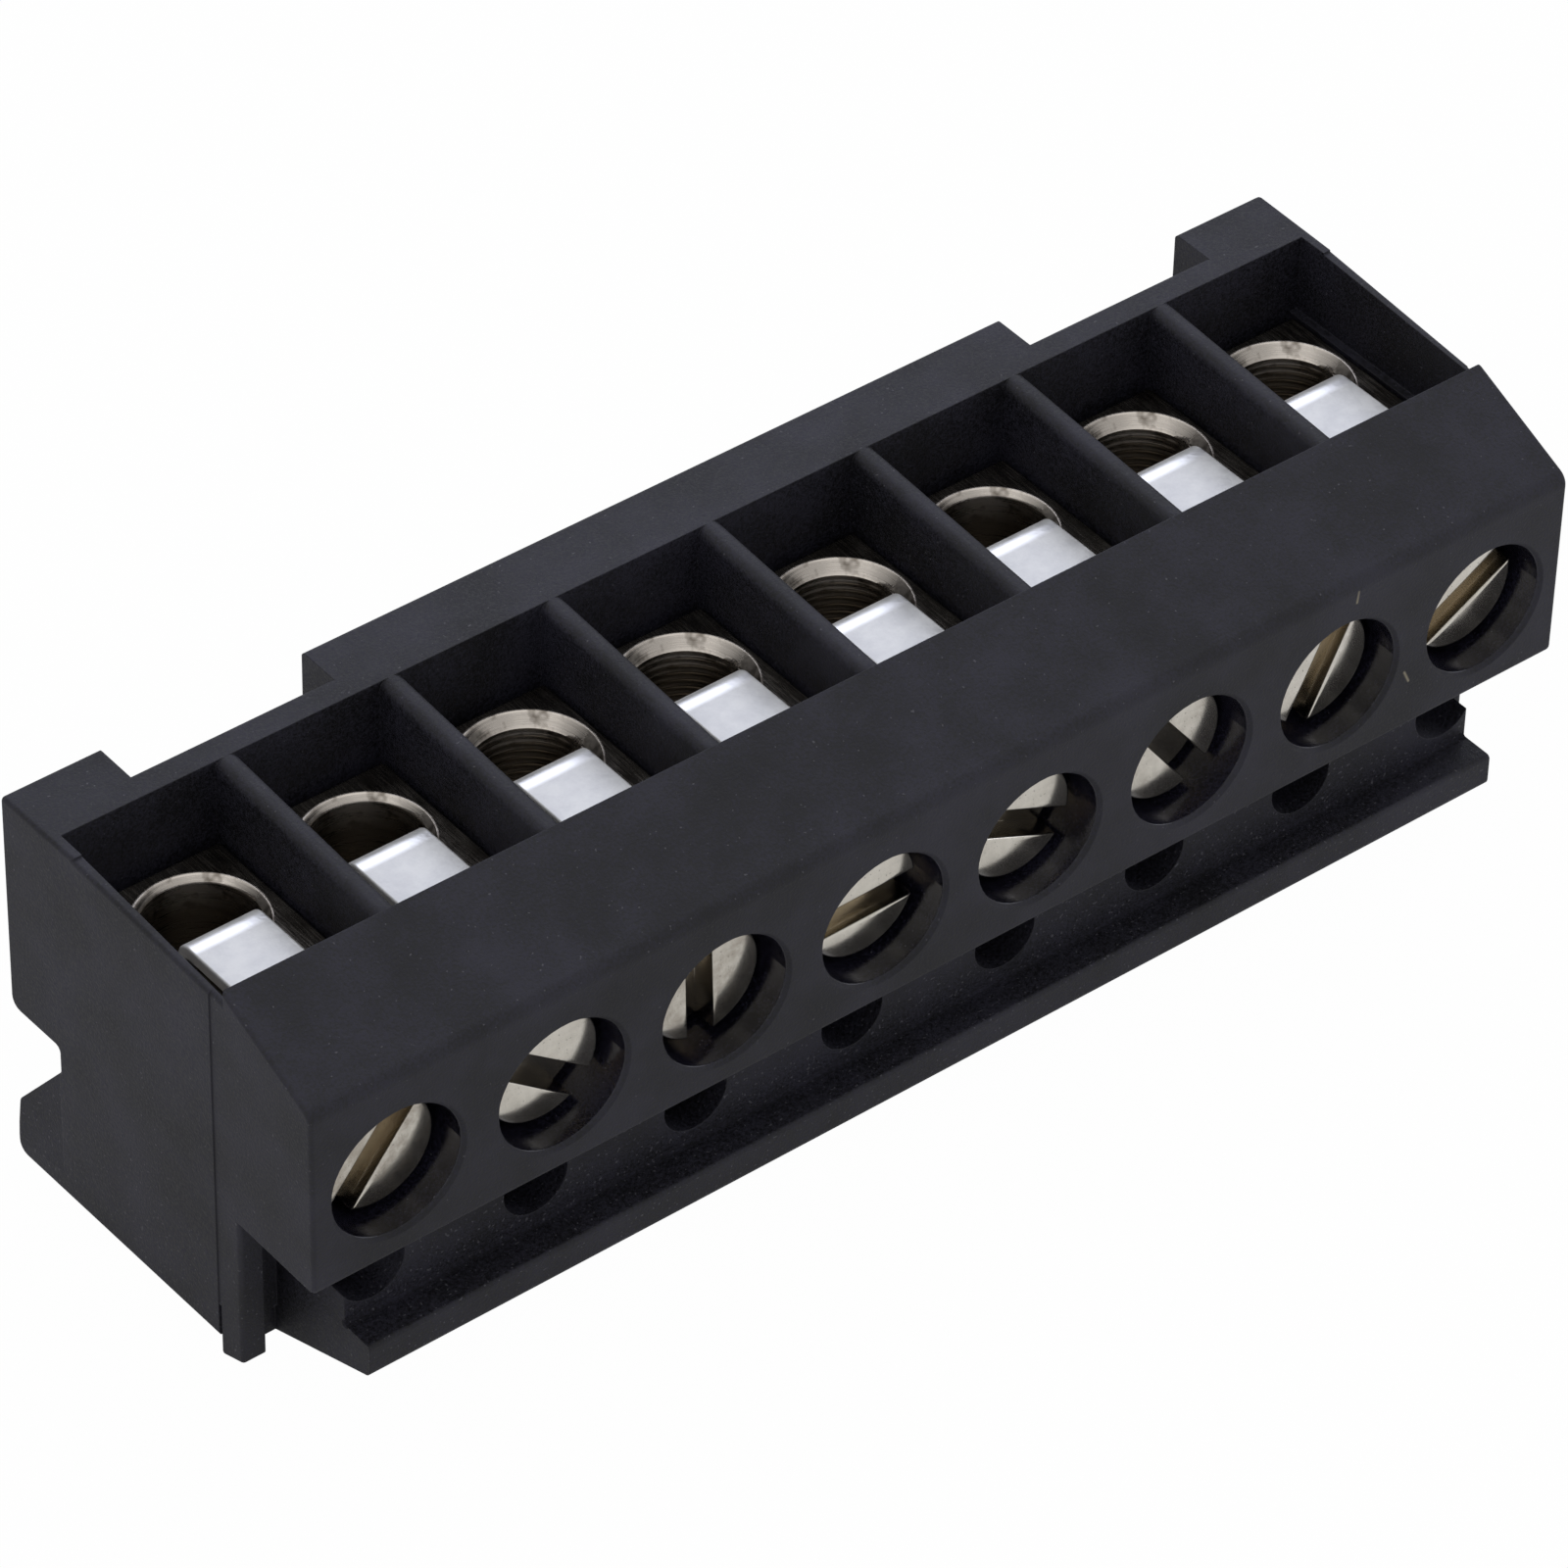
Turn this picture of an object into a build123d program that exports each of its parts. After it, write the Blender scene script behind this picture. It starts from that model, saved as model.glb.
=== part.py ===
from build123d import *
import os

# Eight-pole pluggable screw terminal block, free plug half.
# The screw face looks to -Y, the wire funnels open to +Z and the header pins enter from below.
# Depths count rearwards from the screw face and drops count downwards from the top, in millimetres.

# Row of poles
POLES = 8
PITCH = 5.08

# Housing, overall
HEIGHT = 12.9
DEPTH = 12.75
END_MARGIN = 0.255
END_STEP = 0.03
END_STEP_DEPTH = 4.1
END_TAPER = 0.145
EDGE_ROUND = 0.12

# Overlap of solids that are joined or cut, and the distance at which two planes count as one
MERGE = 1.0
SAME = 0.001

# Screw housing along the front
RIDGE_DEPTH = 3.6
RIDGE_HEIGHT = 0.4
SLANT_DROP = 1.55
SHOULDER_ROUND = 0.45
OVERHANG_DROP = 7.5
OVERHANG_ROUND = 0.2

# Wire funnels and the pockets under them
FUNNEL_REAR = 10.6
DIVIDER = 0.7
DIVIDER_ROUND = 0.3
END_WALL = 0.355

# Rear wall, finger tabs and latch ramps
REAR_WALL_DEPTH = 11.45
PLUG_REAR_DEPTH = 10.7
PLUG_REAR_ROUND = 0.3
REAR_EDGE_ROUND = 0.15
MIDDLE_TAB_HALF = 11.37
END_TAB_INNER = 17.59
TAB_DROP = 7.0
TAB_FOOT_ROUND = 0.4
NOTCH_HEIGHT = 0.8
NOTCH_ROUND = 0.15
RAMP_LAND = 1.7
RAMP_ROUND = 0.25
REAR_BOTTOM_RISE = 0.9
RAMP_FACET_IN = 0.5
RAMP_FACET_RISE = 0.4

# Plug body under the overhang
PLUG_WALL_DEPTH = 1.2
PLUG_WALL_HALF = 18.65
LIP_DEPTH = 0.15
LIP_RISE = 1.5
LIP_HEIGHT = 1.0
LIP_ROOT_ROUND = 0.08
LIP_TOP_ROUND = 0.12
LIP_FOOT_ROUND = 0.25
UNDERSIDE_FLAT_DEPTH = 4.2
WINDOW_RADIUS = 1.0
WINDOW_BELOW = 1.45
POST_DEPTH = 3.15
POST_WIDTH = 0.7
POST_RISE = 0.2
POST_ROUND = 0.15
POST_FOOT_ROUND = 0.1

# Contact chambers and pin entries
CHAMBER_WIDTH = 3.5
CHAMBER_FRONT_GAP = 0.5
CHAMBER_REAR_GAP = 1.7
POCKET_FLOOR = 0.55
PLUG_FLOOR = 1.0
PIN_DEPTH = 6.5
PIN_ENTRY_X = 1.9
PIN_ENTRY_Y = 2.6
PIN_ENTRY_LEAD = 0.3

# Clamp bodies, screws and wire guards
SCREW_DROP = 4.8
SCREW_HOLE_RADIUS = 1.95
SCREW_HOLE_BEVEL = 0.12
BODY_WIDTH = 4.1
BODY_ABOVE_SCREW = 2.4
BODY_BELOW_SCREW = 1.9
BODY_LENGTH = 5.65
BODY_REAR_GAP = 0.3
BODY_ROUND = 0.12
BORE_RADIUS = 1.6
BORE_SETBACK = 2.1
BORE_FLOOR = 0.3
NARROW_BEVEL = 0.17
WIDE_BEVEL = 0.3
NARROW_BEVEL_POLES = (1, 2, 6)
THREAD_RADIUS = 1.5
THREAD_CLEARANCE = 0.05
HEAD_RADIUS = 1.72
HEAD_THICKNESS = 1.3
HEAD_RECESS = 0.92
HEAD_CHAMFER = 0.1
TIP_CHAMFER = 0.3
SLOT_WIDTH = 0.82
SLOT_DEPTH = 0.75
SLOT_ANGLES = (52, -38, 92, 1, -24, -53, 64, 29)
SLOT_OFFSETS = (0.08, -0.18, 0.15, -0.2, -0.05, 0, -0.15, -0.12)
GUARD_WIDTH = 2.3
GUARD_THICKNESS = 0.4
GUARD_SETBACK = 0.6
GUARD_LENGTH = 3.3
GUARD_FOOT_GAP = 0.1
GUARD_BEND = 0.5
GUARD_TIP_ROUND = 0.1
SEAT_GAP = 0.05

# Spring contacts
CONTACT_SHEET = 0.35
CONTACT_WIDTH = 2.4
CONTACT_SPAN = 2.9
CONTACT_PINCH = 0.5
CONTACT_MOUTH = 1.5
CONTACT_LEAD = 1.2
CONTACT_FOOT_GAP = 0.15
TAIL_WIDTH = 1.4
TAIL_CLEARANCE = 0.15

# Sizes worked out from the values above
HALF_LENGTH = POLES * PITCH / 2 + END_MARGIN
FRONT_HALF = HALF_LENGTH - END_TAPER - END_STEP
RAMP_TOP_DROP = TAB_DROP + NOTCH_HEIGHT
REAR_BOTTOM_DROP = HEIGHT - REAR_BOTTOM_RISE
RAMP_FULL_DROP = REAR_BOTTOM_DROP - RAMP_LAND
RAMP_FACET_DROP = REAR_BOTTOM_DROP - RAMP_FACET_RISE
LIP_BOTTOM_DROP = HEIGHT - LIP_RISE
LIP_TOP_DROP = LIP_BOTTOM_DROP - LIP_HEIGHT
WINDOW_DROP = OVERHANG_DROP + WINDOW_BELOW
BODY_TOP_DROP = SCREW_DROP - BODY_ABOVE_SCREW
BODY_BOTTOM_DROP = SCREW_DROP + BODY_BELOW_SCREW
BODY_REAR_DEPTH = FUNNEL_REAR - BODY_REAR_GAP
BODY_FRONT_DEPTH = BODY_REAR_DEPTH - BODY_LENGTH
BORE_DEPTH = BODY_REAR_DEPTH - BORE_SETBACK
POCKET_FRONT = BODY_FRONT_DEPTH - SEAT_GAP
SHELF_DROP = BODY_TOP_DROP
POCKET_BOTTOM_DROP = BODY_BOTTOM_DROP + SEAT_GAP
CHAMBER_TOP_DROP = POCKET_BOTTOM_DROP + POCKET_FLOOR
CHAMBER_BOTTOM_DROP = HEIGHT - PLUG_FLOOR
CHAMBER_FRONT = PIN_DEPTH - CONTACT_WIDTH / 2 - CHAMBER_FRONT_GAP
CHAMBER_REAR = PIN_DEPTH + CONTACT_WIDTH / 2 + CHAMBER_REAR_GAP
CONTACT_TOP_DROP = CHAMBER_TOP_DROP + SEAT_GAP
CONTACT_LENGTH = CHAMBER_BOTTOM_DROP - CONTACT_FOOT_GAP - CONTACT_TOP_DROP
GUARD_TOP_DROP = BODY_TOP_DROP - SEAT_GAP - GUARD_THICKNESS
GUARD_FOOT_DROP = BODY_BOTTOM_DROP - BORE_FLOOR - GUARD_FOOT_GAP
GUARD_REAR_DEPTH = BORE_DEPTH - GUARD_SETBACK
GUARD_FRONT_FACE = GUARD_REAR_DEPTH - GUARD_THICKNESS
SCREW_TIP_DEPTH = GUARD_FRONT_FACE - SEAT_GAP


def y_at(depth: float) -> float:
    """Y of a plane that lies this far behind the screw face."""
    return depth - DEPTH / 2


def z_at(drop: float) -> float:
    """Z of a plane that lies this far below the top."""
    return HEIGHT - drop


def pole_x(pole: int) -> float:
    """X of the middle of a pole, counted from 1 at the left."""
    return (pole - (POLES + 1) / 2) * PITCH


def block(x_range: tuple, depths: tuple, drops: tuple) -> Part:
    """Box between two x values, two depths and two drops."""
    low = (x_range[0], y_at(depths[0]), z_at(drops[1]))
    size = (x_range[1] - x_range[0], depths[1] - depths[0], drops[1] - drops[0])
    corner = (Align.MIN, Align.MIN, Align.MIN)
    return Pos(*low) * Box(*size, align=corner)


def side_prism(corners: list, x_range: tuple) -> Part:
    """Extrude a side outline along x; each corner is (depth, drop, rounding radius)."""
    points = [(y_at(depth), z_at(drop)) for depth, drop, _ in corners]
    radii = [radius for _, _, radius in corners]
    outline = make_face(FilletPolyline(*points, radius=radii, close=True))
    face = Pos(x_range[0], 0, 0) * (Plane.YZ * outline)
    return extrude(face, amount=x_range[1] - x_range[0], dir=(1, 0, 0))


def wall_top_drop(depth: float) -> float:
    """Drop of the tops of the end walls and dividers, which fall from the rear wall to the ridge."""
    return RIDGE_HEIGHT * (FUNNEL_REAR - depth) / (FUNNEL_REAR - RIDGE_DEPTH)


def end_half(y: float) -> float:
    """Half length of the rear block at a y; its end faces draw in towards the front."""
    return HALF_LENGTH - END_TAPER * (y_at(DEPTH) - y) / (DEPTH - END_STEP_DEPTH)


def mirrored(solid: Part) -> Part:
    """The solid together with its mirror image at the other end of the row."""
    return solid + mirror(solid, about=Plane.YZ)


def front_block() -> Part:
    """Screw housing: upright screw face with a slanted shoulder up to the ridge."""
    outline = [
        (PLUG_REAR_DEPTH / 2, wall_top_drop(PLUG_REAR_DEPTH / 2), 0),
        (RIDGE_DEPTH, wall_top_drop(RIDGE_DEPTH), 0),
        (RIDGE_DEPTH, 0, 0),
        (0, SLANT_DROP, SHOULDER_ROUND),
        (0, OVERHANG_DROP, OVERHANG_ROUND),
        (PLUG_REAR_DEPTH / 2, OVERHANG_DROP, 0),
    ]
    return side_prism(outline, (-FRONT_HALF, FRONT_HALF))


def rear_block() -> Part:
    """Body behind the end step, with the plain rear wall that shows between the tabs."""
    outline = [
        (END_STEP_DEPTH, wall_top_drop(END_STEP_DEPTH), 0),
        (FUNNEL_REAR, 0, 0),
        (REAR_WALL_DEPTH, 0, REAR_EDGE_ROUND),
        (REAR_WALL_DEPTH, TAB_DROP, 0),
        (PLUG_REAR_DEPTH, TAB_DROP, 0),
        (PLUG_REAR_DEPTH, REAR_BOTTOM_DROP, 0),
        (END_STEP_DEPTH, REAR_BOTTOM_DROP, 0),
    ]
    return side_prism(outline, (-HALF_LENGTH, HALF_LENGTH))


def rear_tab(x_range: tuple) -> Part:
    """Finger tab with the latch ramp below it, for one stretch of the rear side."""
    inner = PLUG_REAR_DEPTH - MERGE
    outline = [
        (inner, 0, 0),
        (DEPTH, 0, REAR_EDGE_ROUND),
        (DEPTH, TAB_DROP, TAB_FOOT_ROUND),
        (PLUG_REAR_DEPTH, TAB_DROP, NOTCH_ROUND),
        (PLUG_REAR_DEPTH, RAMP_TOP_DROP, NOTCH_ROUND),
        (DEPTH, RAMP_FULL_DROP, RAMP_ROUND),
        (DEPTH, REAR_BOTTOM_DROP, TAB_FOOT_ROUND),
        (inner, REAR_BOTTOM_DROP, 0),
    ]
    return side_prism(outline, x_range)


def ramp_facet() -> Part:
    """Wedge that bevels the outer end of a latch ramp."""
    corners = [
        (HALF_LENGTH, z_at(RAMP_FACET_DROP)),
        (HALF_LENGTH - RAMP_FACET_IN, z_at(TAB_DROP)),
        (HALF_LENGTH + RAMP_FACET_IN, z_at(TAB_DROP)),
    ]
    face = Plane.XZ * make_face(Polyline(*corners, close=True))
    start = Pos(0, y_at(PLUG_REAR_DEPTH), 0) * face
    return extrude(start, amount=DEPTH - PLUG_REAR_DEPTH + EDGE_ROUND, dir=(0, 1, 0))


def underside_drop(depth: float) -> float:
    """Drop of the slanted underside at a depth."""
    rise = (HEIGHT - LIP_BOTTOM_DROP) / (UNDERSIDE_FLAT_DEPTH - LIP_DEPTH)
    return LIP_BOTTOM_DROP + rise * (depth - LIP_DEPTH)


def plug_body() -> Part:
    """Front wall with its guide lip and slanted underside, and the flat-bottomed core behind it."""
    wall = [
        (PLUG_WALL_DEPTH, OVERHANG_DROP - MERGE, 0),
        (PLUG_WALL_DEPTH, LIP_TOP_DROP, LIP_ROOT_ROUND),
        (LIP_DEPTH, LIP_TOP_DROP, LIP_TOP_ROUND),
        (LIP_DEPTH, LIP_BOTTOM_DROP, LIP_FOOT_ROUND),
        (UNDERSIDE_FLAT_DEPTH, HEIGHT, 0),
        (PLUG_REAR_DEPTH / 2, HEIGHT, 0),
        (PLUG_REAR_DEPTH / 2, OVERHANG_DROP - MERGE, 0),
    ]
    core = [
        (UNDERSIDE_FLAT_DEPTH, OVERHANG_DROP - MERGE, 0),
        (UNDERSIDE_FLAT_DEPTH, HEIGHT, 0),
        (PLUG_REAR_DEPTH, HEIGHT, PLUG_REAR_ROUND),
        (PLUG_REAR_DEPTH, OVERHANG_DROP - MERGE, 0),
    ]
    core_half = FRONT_HALF - POST_WIDTH
    front = side_prism(wall, (-PLUG_WALL_HALF, PLUG_WALL_HALF))
    return front + side_prism(core, (-core_half, core_half))


def corner_post() -> Part:
    """Small post at the right end, between the screw housing and the slanted underside."""
    outline = [
        (POST_DEPTH, OVERHANG_DROP - MERGE, 0),
        (POST_DEPTH, underside_drop(POST_DEPTH) - POST_RISE, POST_ROUND),
        (END_STEP_DEPTH, underside_drop(END_STEP_DEPTH) - POST_RISE, POST_FOOT_ROUND),
        (END_STEP_DEPTH, REAR_BOTTOM_DROP - MERGE, 0),
        (END_STEP_DEPTH + MERGE, REAR_BOTTOM_DROP - MERGE, 0),
        (END_STEP_DEPTH + MERGE, OVERHANG_DROP - MERGE, 0),
    ]
    return side_prism(outline, (FRONT_HALF - POST_WIDTH, FRONT_HALF))


def end_taper() -> Part:
    """Wedge that draws in the right end face of the rear block towards the front."""
    corners = [
        (HALF_LENGTH, y_at(DEPTH)),
        (end_half(y_at(END_STEP_DEPTH)), y_at(END_STEP_DEPTH)),
        (HALF_LENGTH + MERGE, y_at(END_STEP_DEPTH)),
        (HALF_LENGTH + MERGE, y_at(DEPTH)),
    ]
    return extrude(make_face(Polyline(*corners, close=True)), amount=HEIGHT)


def sloped_prism(corners: list, depths: tuple) -> Part:
    """Extrude a front outline rearwards and up by the ridge's height; corners are (x, drop, radius)."""
    points = [(x, z_at(drop)) for x, drop, _ in corners]
    radii = [radius for _, _, radius in corners]
    outline = Plane.XZ * make_face(FilletPolyline(*points, radius=radii, close=True))
    start = Pos(0, y_at(depths[0]), -RIDGE_HEIGHT) * outline
    run = depths[1] - depths[0]
    return extrude(start, amount=(run ** 2 + RIDGE_HEIGHT ** 2) ** 0.5, dir=(0, run, RIDGE_HEIGHT))


def funnel_trough() -> Part:
    """Hollow of all the funnels and clamp pockets together, before the dividers go in."""
    funnel_half = HALF_LENGTH - END_WALL
    pocket_half = pole_x(POLES) + (PITCH - DIVIDER) / 2
    trough = block((-funnel_half, funnel_half), (RIDGE_DEPTH, FUNNEL_REAR), (-MERGE, SHELF_DROP))
    return trough + block((-pocket_half, pocket_half), (POCKET_FRONT, FUNNEL_REAR), (0, POCKET_BOTTOM_DROP))


def divider(number: int) -> Part:
    """Wall between two poles; its rounded top falls from the rear wall to the foot of the ridge."""
    middle = (pole_x(number) + pole_x(number + 1)) / 2
    half = DIVIDER / 2
    outline = [
        (middle - half, 0, DIVIDER_ROUND),
        (middle + half, 0, DIVIDER_ROUND),
        (middle + half, POCKET_BOTTOM_DROP, 0),
        (middle - half, POCKET_BOTTOM_DROP, 0),
    ]
    return sloped_prism(outline, (RIDGE_DEPTH, FUNNEL_REAR))


def contact_chamber(pole: int) -> Part:
    """Chamber of one spring contact, the slot for its tail above and the pin entry below."""
    middle = pole_x(pole)
    sides = (middle - CHAMBER_WIDTH / 2, middle + CHAMBER_WIDTH / 2)
    chamber = block(sides, (CHAMBER_FRONT, CHAMBER_REAR), (CHAMBER_TOP_DROP, CHAMBER_BOTTOM_DROP))
    slot_half = TAIL_WIDTH / 2 + TAIL_CLEARANCE
    slot_reach = CONTACT_SHEET / 2 + TAIL_CLEARANCE
    chamber += block(
        (middle - slot_half, middle + slot_half),
        (PIN_DEPTH - slot_reach, PIN_DEPTH + slot_reach),
        (BODY_BOTTOM_DROP, CHAMBER_TOP_DROP + SEAT_GAP),
    )
    return chamber + pin_entry(pole)


def pin_entry(pole: int) -> Part:
    """Rectangular pin hole through the plug floor, widened at its mouth."""
    mouth_face = Rectangle(PIN_ENTRY_X + 2 * PIN_ENTRY_LEAD, PIN_ENTRY_Y + 2 * PIN_ENTRY_LEAD)
    throat_face = Rectangle(PIN_ENTRY_X, PIN_ENTRY_Y)
    throat = extrude(throat_face, amount=PLUG_FLOOR + SEAT_GAP)
    mouth = loft([mouth_face, Pos(0, 0, PIN_ENTRY_LEAD) * throat_face])
    return Pos(pole_x(pole), y_at(PIN_DEPTH), 0) * (throat + mouth)


def front_hole(pole: int, drop: float, radius: float, depths: tuple) -> Part:
    """Round hole along y at one pole."""
    length = depths[1] - depths[0]
    middle = (depths[0] + depths[1]) / 2
    return Pos(pole_x(pole), y_at(middle), z_at(drop)) * Rot(90, 0, 0) * Cylinder(radius, length)


def screw_hole(pole: int) -> Part:
    """Recess that the screw head turns in, with a bevelled mouth."""
    mouth_radius = SCREW_HOLE_RADIUS + SCREW_HOLE_BEVEL
    corners = [
        (0, 0),
        (mouth_radius, 0),
        (SCREW_HOLE_RADIUS, SCREW_HOLE_BEVEL),
        (SCREW_HOLE_RADIUS, POCKET_FRONT + SEAT_GAP),
        (0, POCKET_FRONT + SEAT_GAP),
    ]
    turned = revolve(make_face(Polyline(*corners, close=True)), axis=Axis.Y)
    return Pos(pole_x(pole), y_at(0), z_at(SCREW_DROP)) * turned


def round_ends(solid: Part, half_at) -> Part:
    """Round the outline edges of the two end faces, whose half length is a function of y."""
    middles = [(edge, edge.center()) for edge in solid.edges()]
    ends = [(edge, spot) for edge, spot in middles if abs(abs(spot.X) - half_at(spot.Y)) < SAME]
    step = y_at(END_STEP_DEPTH)
    return fillet([edge for edge, spot in ends if abs(spot.Y - step) > SAME], EDGE_ROUND)


def make_housing() -> Part:
    """The one-piece moulded housing."""
    rear = rear_block() + rear_tab((-MIDDLE_TAB_HALF, MIDDLE_TAB_HALF))
    rear += mirrored(rear_tab((END_TAB_INNER, HALF_LENGTH)))
    rear = round_ends(rear - mirrored(end_taper()), end_half) - mirrored(ramp_facet())
    front = round_ends(front_block() + mirrored(corner_post()), lambda y: FRONT_HALF)
    housing = rear + front + plug_body() - funnel_trough()
    for number in range(1, POLES):
        housing += divider(number)
    for pole in range(1, POLES + 1):
        housing -= contact_chamber(pole)
        housing -= screw_hole(pole)
        window_depths = (PLUG_WALL_DEPTH - SEAT_GAP, CHAMBER_FRONT + SEAT_GAP)
        housing -= front_hole(pole, WINDOW_DROP, WINDOW_RADIUS, window_depths)
    return housing


def make_clamp_body(pole: int) -> Part:
    """Plated block with the wire bore from above and the screw hole from the front."""
    half = BODY_WIDTH / 2
    body = block((-half, half), (BODY_FRONT_DEPTH, BODY_REAR_DEPTH), (BODY_TOP_DROP, BODY_BOTTOM_DROP))
    body = fillet(body.edges().filter_by(Axis.Z), BODY_ROUND)
    bore_length = BODY_BOTTOM_DROP - BODY_TOP_DROP - BORE_FLOOR
    bore = Pos(0, y_at(BORE_DEPTH), z_at(BODY_TOP_DROP)) * Cylinder(
        BORE_RADIUS, bore_length, align=(Align.CENTER, Align.CENTER, Align.MAX)
    )
    width = NARROW_BEVEL if pole in NARROW_BEVEL_POLES else WIDE_BEVEL
    bevel = Pos(0, y_at(BORE_DEPTH), z_at(BODY_TOP_DROP)) * Cone(
        BORE_RADIUS, BORE_RADIUS + width, width, align=(Align.CENTER, Align.CENTER, Align.MAX)
    )
    body -= bore + bevel
    thread_hole = Pos(0, y_at(BODY_FRONT_DEPTH), z_at(SCREW_DROP)) * Rot(-90, 0, 0) * Cylinder(
        THREAD_RADIUS + THREAD_CLEARANCE,
        BORE_DEPTH - BODY_FRONT_DEPTH,
        align=(Align.CENTER, Align.CENTER, Align.MIN),
    )
    body -= thread_hole
    return Pos(pole_x(pole), 0, 0) * body


def make_clamp_screw(pole: int) -> Part:
    """Slotted cheese-head screw, its tip against the wire guard."""
    tip = SCREW_TIP_DEPTH - HEAD_RECESS
    corners = [
        (0, 0),
        (HEAD_RADIUS - HEAD_CHAMFER, 0),
        (HEAD_RADIUS, HEAD_CHAMFER),
        (HEAD_RADIUS, HEAD_THICKNESS),
        (THREAD_RADIUS, HEAD_THICKNESS),
        (THREAD_RADIUS, tip - TIP_CHAMFER),
        (THREAD_RADIUS - TIP_CHAMFER, tip),
        (0, tip),
    ]
    turned = revolve(make_face(Polyline(*corners, close=True)), axis=Axis.Y)
    pick = (pole - 1) % len(SLOT_ANGLES)
    saw = Pos(0, 0, SLOT_OFFSETS[pick]) * Box(3 * HEAD_RADIUS, 2 * SLOT_DEPTH, SLOT_WIDTH)
    slot = Rot(0, -SLOT_ANGLES[pick], 0) * saw
    return Pos(pole_x(pole), y_at(HEAD_RECESS), z_at(SCREW_DROP)) * (turned - slot)


def make_wire_guard(pole: int) -> Part:
    """Tinned strip that lies on the clamp body and turns down into the wire bore."""
    top = GUARD_TOP_DROP
    foot = GUARD_FOOT_DROP
    rear = GUARD_REAR_DEPTH
    front = rear - GUARD_LENGTH
    inner_bend = GUARD_BEND - GUARD_THICKNESS
    outline = [
        (front, top, 0),
        (rear, top, GUARD_BEND),
        (rear, foot, GUARD_TIP_ROUND),
        (rear - GUARD_THICKNESS, foot, GUARD_TIP_ROUND),
        (rear - GUARD_THICKNESS, top + GUARD_THICKNESS, inner_bend),
        (front, top + GUARD_THICKNESS, 0),
    ]
    middle = pole_x(pole)
    return side_prism(outline, (middle - GUARD_WIDTH / 2, middle + GUARD_WIDTH / 2))


def make_pin_contact(pole: int) -> Part:
    """Folded spring contact: two arms that pinch a pin, a bridge, and a tail up to the clamp body."""
    top = z_at(CONTACT_TOP_DROP)
    mouth = top - CONTACT_LENGTH
    pinch = mouth + CONTACT_LEAD
    arm = Polyline(
        (0, top - CONTACT_SHEET / 2),
        (CONTACT_SPAN / 2 - CONTACT_SHEET / 2, top - CONTACT_SHEET / 2),
        (CONTACT_PINCH / 2 + CONTACT_SHEET / 2, pinch),
        (CONTACT_MOUTH / 2 + CONTACT_SHEET / 2, mouth),
    )
    strip = trace(arm, CONTACT_SHEET)
    arm_face = Pos(0, y_at(PIN_DEPTH), 0) * (Plane.XZ * strip)
    right = extrude(arm_face, amount=CONTACT_WIDTH / 2, both=True)
    tail = block(
        (-TAIL_WIDTH / 2, TAIL_WIDTH / 2),
        (PIN_DEPTH - CONTACT_SHEET / 2, PIN_DEPTH + CONTACT_SHEET / 2),
        (BODY_BOTTOM_DROP + SEAT_GAP, CONTACT_TOP_DROP + CONTACT_SHEET),
    )
    return Pos(pole_x(pole), 0, 0) * (mirrored(right) + tail)


def save(shape: Part, node: str) -> None:
    """Write one sub-part under its node name."""
    export_step(shape, os.path.join("parts", node + ".step"))


os.makedirs("parts", exist_ok=True)
save(make_housing(), "housing")
for number in range(1, POLES + 1):
    save(make_clamp_body(number), f"clamp_body_{number}")
    save(make_clamp_screw(number), f"clamp_screw_{number}")
    save(make_wire_guard(number), f"wire_guard_{number}")
    save(make_pin_contact(number), f"pin_contact_{number}")
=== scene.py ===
import logging
import math
from dataclasses import dataclass
from enum import Enum

import bmesh
import bpy
import numpy as np
from mathutils import Matrix, Vector


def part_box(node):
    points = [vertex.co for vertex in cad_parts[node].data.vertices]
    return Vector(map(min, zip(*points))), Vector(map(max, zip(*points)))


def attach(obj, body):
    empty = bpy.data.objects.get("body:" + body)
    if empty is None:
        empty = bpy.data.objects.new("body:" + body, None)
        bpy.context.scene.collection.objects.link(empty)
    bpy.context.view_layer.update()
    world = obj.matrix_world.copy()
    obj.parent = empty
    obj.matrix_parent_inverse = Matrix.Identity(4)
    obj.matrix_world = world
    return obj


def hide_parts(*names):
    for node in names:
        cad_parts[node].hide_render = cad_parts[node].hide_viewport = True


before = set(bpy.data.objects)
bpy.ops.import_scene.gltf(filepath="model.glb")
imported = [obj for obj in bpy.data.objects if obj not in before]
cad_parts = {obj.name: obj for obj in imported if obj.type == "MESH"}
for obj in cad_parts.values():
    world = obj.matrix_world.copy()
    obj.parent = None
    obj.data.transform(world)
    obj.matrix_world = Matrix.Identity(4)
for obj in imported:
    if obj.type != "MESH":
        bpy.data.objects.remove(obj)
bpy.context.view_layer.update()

LOG = logging.getLogger("terminal_block")
MM = 0.001
POLES = 8
PER_MM = 1.0 / MM
PITCH = 5.08
SCREW_HEIGHT = 8.1
FACE_Y = -6.375
WELD = 1e-8
Array = np.ndarray


def linear(hex_colour: str) -> tuple[float, float, float, float]:
    """Turn an sRGB hex colour into linear light.

    Args:
        hex_colour: six hex digits after a hash.

    Returns:
        Red, green, blue and an alpha of one.
    """
    parts = [int(hex_colour[i:i + 2], 16) / 255 for i in (1, 3, 5)]
    lit = [p / 12.92 if p <= 0.04045 else ((p + 0.055) / 1.055) ** 2.4 for p in parts]
    return (lit[0], lit[1], lit[2], 1.0)


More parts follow.
